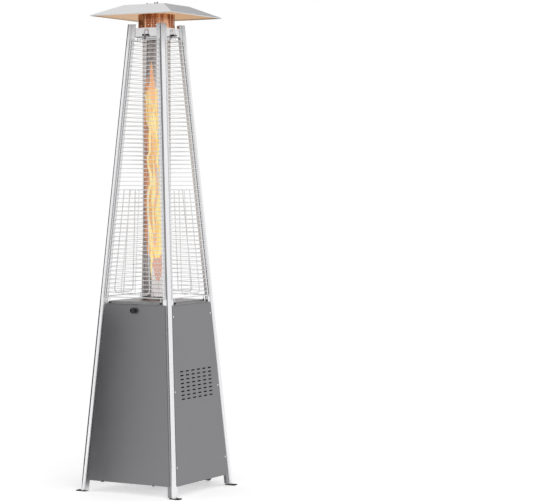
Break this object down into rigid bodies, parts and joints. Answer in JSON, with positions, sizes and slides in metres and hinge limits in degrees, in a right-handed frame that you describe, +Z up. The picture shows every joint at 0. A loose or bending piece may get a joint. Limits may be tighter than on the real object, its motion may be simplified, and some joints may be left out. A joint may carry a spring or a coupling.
{
  "type": "patio heater",
  "caption": "Tapered free-standing gas patio heater: flame in a clear tube behind wire guards, square reflector, sheet base with front door for a gas cylinder.",
  "frame": {"origin": "centre of the square of legs on the floor, which is the centre of the anchor hole pattern", "axes": "+Z up; the front with the door faces -Y; +X is to the right seen from the front"},
  "size_m": [0.564, 0.575, 2.2711],
  "materials": {
    "leg_aluminium": "satin anodised extrusion",
    "panel_paint": "satin dark grey powder coat",
    "sheet_steel": "plain brushed sheet",
    "deck_steel": "brushed sheet, heat toned round the burner",
    "wire_chrome": "bright plated wire",
    "screw_steel": "bright zinc",
    "black_steel": "black powder coat",
    "foot_black": "moulded black",
    "knob_dark": "moulded, polished",
    "control_black": "moulded, fine grain",
    "magnet_black": "moulded magnet case",
    "brass": "machined",
    "burner_steel": "heat toned",
    "ceramic_white": "glazed white",
    "gasket": "woven glass fibre",
    "tube_glass": "clear heat-proof glass",
    "screen_steel": "perforated sheet, copper heat tone",
    "reflector_aluminium": "brushed",
    "tyre_black": "moulded wheel"
  },
  "bodies": {
    "heater": {"leg_front_right": "leg_aluminium", "leg_rear_right": "leg_aluminium", "leg_rear_left": "leg_aluminium", "leg_front_left": "leg_aluminium", "foot_plates": "black_steel", "base_tray": "sheet_steel", "cylinder_ring": "sheet_steel", "right_panel": "panel_paint", "rear_panel": "panel_paint", "left_panel": "panel_paint", "panel_screws": "screw_steel", "frame_screws": "screw_steel", "small_screws": "screw_steel", "door_hinges": "sheet_steel", "door_hinge_pins": "screw_steel", "door_magnet": "magnet_black", "deck": "deck_steel", "control_panel": "black_steel", "gas_valve": "brass", "gas_inlet": "brass", "igniter": "control_black", "tilt_switch": "control_black", "feed_pipe": "burner_steel", "gas_jet": "brass", "mixer_tube": "burner_steel", "burner_bowl": "burner_steel", "burner_plate": "burner_steel", "pilot_tube": "burner_steel", "thermocouple": "burner_steel", "spark_electrode": "ceramic_white", "pilot_bracket": "burner_steel", "tube_seat": "burner_steel", "lower_gasket": "gasket", "glass_tube": "tube_glass", "tube_sleeve": "sheet_steel", "upper_gasket": "gasket", "front_guard": "wire_chrome", "right_guard": "wire_chrome", "rear_guard": "wire_chrome", "left_guard": "wire_chrome", "guard_feet": "foot_black", "guard_clips": "black_steel", "collar": "sheet_steel", "flame_screen": "screen_steel", "screen_cap": "screen_steel", "reflector_studs": "screw_steel", "reflector_spacers": "sheet_steel", "reflector": "reflector_aluminium", "wing_nuts": "black_steel", "wheel_brackets": "black_steel", "wheel_axles": "screw_steel"},
    "door": {"door": "panel_paint", "door_knob": "knob_dark", "door_knob_screw": "screw_steel"},
    "valve_plunger": {"valve_plunger": "brass"},
    "valve_knob": {"valve_spindle": "brass", "valve_knob": "control_black"},
    "igniter_button": {"igniter_button": "control_black"},
    "wheel_left": {"left_wheel": "tyre_black"},
    "wheel_right": {"right_wheel": "tyre_black"}
  },
  "joints": [
    {"name": "door_swing", "type": "hinge", "parent": "heater", "child": "door", "pos_m": [0, -0.24959, 0.053], "axis": [1, 0, 0], "range_deg": [0, 92]},
    {"name": "valve_push", "type": "slide", "parent": "heater", "child": "valve_plunger", "axis": [0, 1, 0], "range_m": [0, 0.004], "stiffness_N_per_m": 600, "springref_m": -0.003},
    {"name": "valve_turn", "type": "hinge", "parent": "valve_plunger", "child": "valve_knob", "pos_m": [-0.04, -0.14, 0.8], "axis": [0, -1, 0], "range_deg": [0, 180]},
    {"name": "igniter_push", "type": "slide", "parent": "heater", "child": "igniter_button", "axis": [0, 1, 0], "range_m": [0, 0.006], "stiffness_N_per_m": 500, "springref_m": -0.004},
    {"name": "wheel_left_spin", "type": "hinge", "parent": "heater", "child": "wheel_left", "pos_m": [-0.105, 0.282, 0.034], "axis": [1, 0, 0], "continuous": true},
    {"name": "wheel_right_spin", "type": "hinge", "parent": "heater", "child": "wheel_right", "pos_m": [0.105, 0.282, 0.034], "axis": [1, 0, 0], "continuous": true}
  ]
}
